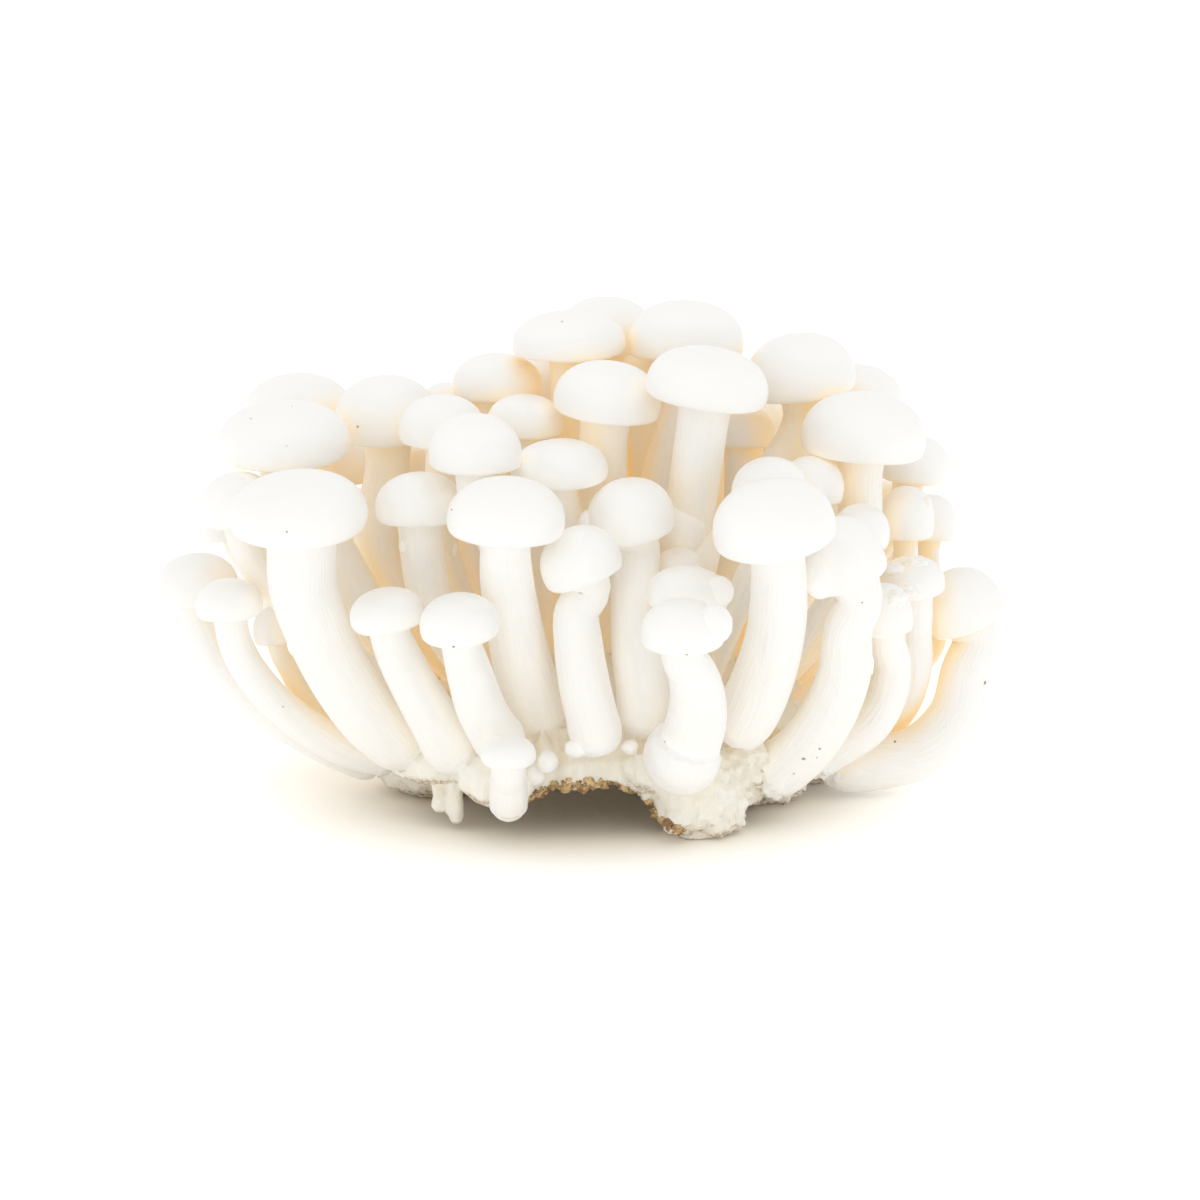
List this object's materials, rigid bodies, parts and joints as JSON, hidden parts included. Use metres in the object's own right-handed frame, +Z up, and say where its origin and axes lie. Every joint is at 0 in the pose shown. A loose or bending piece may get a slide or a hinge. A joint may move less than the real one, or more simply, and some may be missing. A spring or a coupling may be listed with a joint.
{
  "type": "white beech mushroom bunch",
  "caption": "Dense bunch of small white cultivated mushrooms: bun-shaped caps with gills on slender bent stems that grow from one pale shared butt.",
  "frame": {"origin": "on the surface that the bunch stands on, under the middle of its bounding box", "axes": "+X to the right across the bunch's broad front, +Y to its back, +Z up"},
  "size_m": [0.1292, 0.0968, 0.0749],
  "materials": {
    "white_flesh": "satin",
    "butt_flesh": "matte",
    "growing_medium": "matte"
  },
  "bodies": {
    "root": {"base": "butt_flesh", "substrate": "growing_medium", "mushroom_low_1": "white_flesh", "mushroom_front_1": "white_flesh", "mushroom_front_2": "white_flesh", "mushroom_front_3": "white_flesh", "mushroom_front_4": "white_flesh", "mushroom_front_5": "white_flesh", "mushroom_front_6": "white_flesh", "mushroom_front_7": "white_flesh", "mushroom_front_8": "white_flesh", "mushroom_front_9": "white_flesh", "mushroom_front_10": "white_flesh", "mushroom_left_1": "white_flesh", "mushroom_left_2": "white_flesh", "mushroom_left_3": "white_flesh", "mushroom_left_4": "white_flesh", "mushroom_left_5": "white_flesh", "mushroom_left_6": "white_flesh", "mushroom_left_7": "white_flesh", "mushroom_left_8": "white_flesh", "mushroom_middle_1": "white_flesh", "mushroom_middle_2": "white_flesh", "mushroom_middle_3": "white_flesh", "mushroom_middle_4": "white_flesh", "mushroom_middle_5": "white_flesh", "mushroom_middle_6": "white_flesh", "mushroom_middle_7": "white_flesh", "mushroom_middle_8": "white_flesh", "mushroom_middle_9": "white_flesh", "mushroom_middle_10": "white_flesh", "mushroom_right_1": "white_flesh", "mushroom_right_2": "white_flesh", "mushroom_right_3": "white_flesh", "mushroom_right_4": "white_flesh", "mushroom_right_5": "white_flesh", "mushroom_right_6": "white_flesh", "mushroom_right_7": "white_flesh", "mushroom_right_8": "white_flesh", "mushroom_right_9": "white_flesh", "mushroom_crown_1": "white_flesh", "mushroom_crown_2": "white_flesh", "mushroom_crown_3": "white_flesh", "mushroom_crown_4": "white_flesh", "mushroom_crown_5": "white_flesh", "mushroom_crown_6": "white_flesh", "mushroom_back_1": "white_flesh", "mushroom_back_2": "white_flesh", "mushroom_back_3": "white_flesh", "mushroom_back_4": "white_flesh", "mushroom_back_5": "white_flesh", "mushroom_back_6": "white_flesh", "mushroom_back_7": "white_flesh", "mushroom_back_8": "white_flesh", "mushroom_back_9": "white_flesh", "mushroom_back_10": "white_flesh", "mushroom_back_11": "white_flesh", "mushroom_back_12": "white_flesh", "mushroom_back_13": "white_flesh", "mushroom_back_14": "white_flesh"}
  },
  "joints": []
}
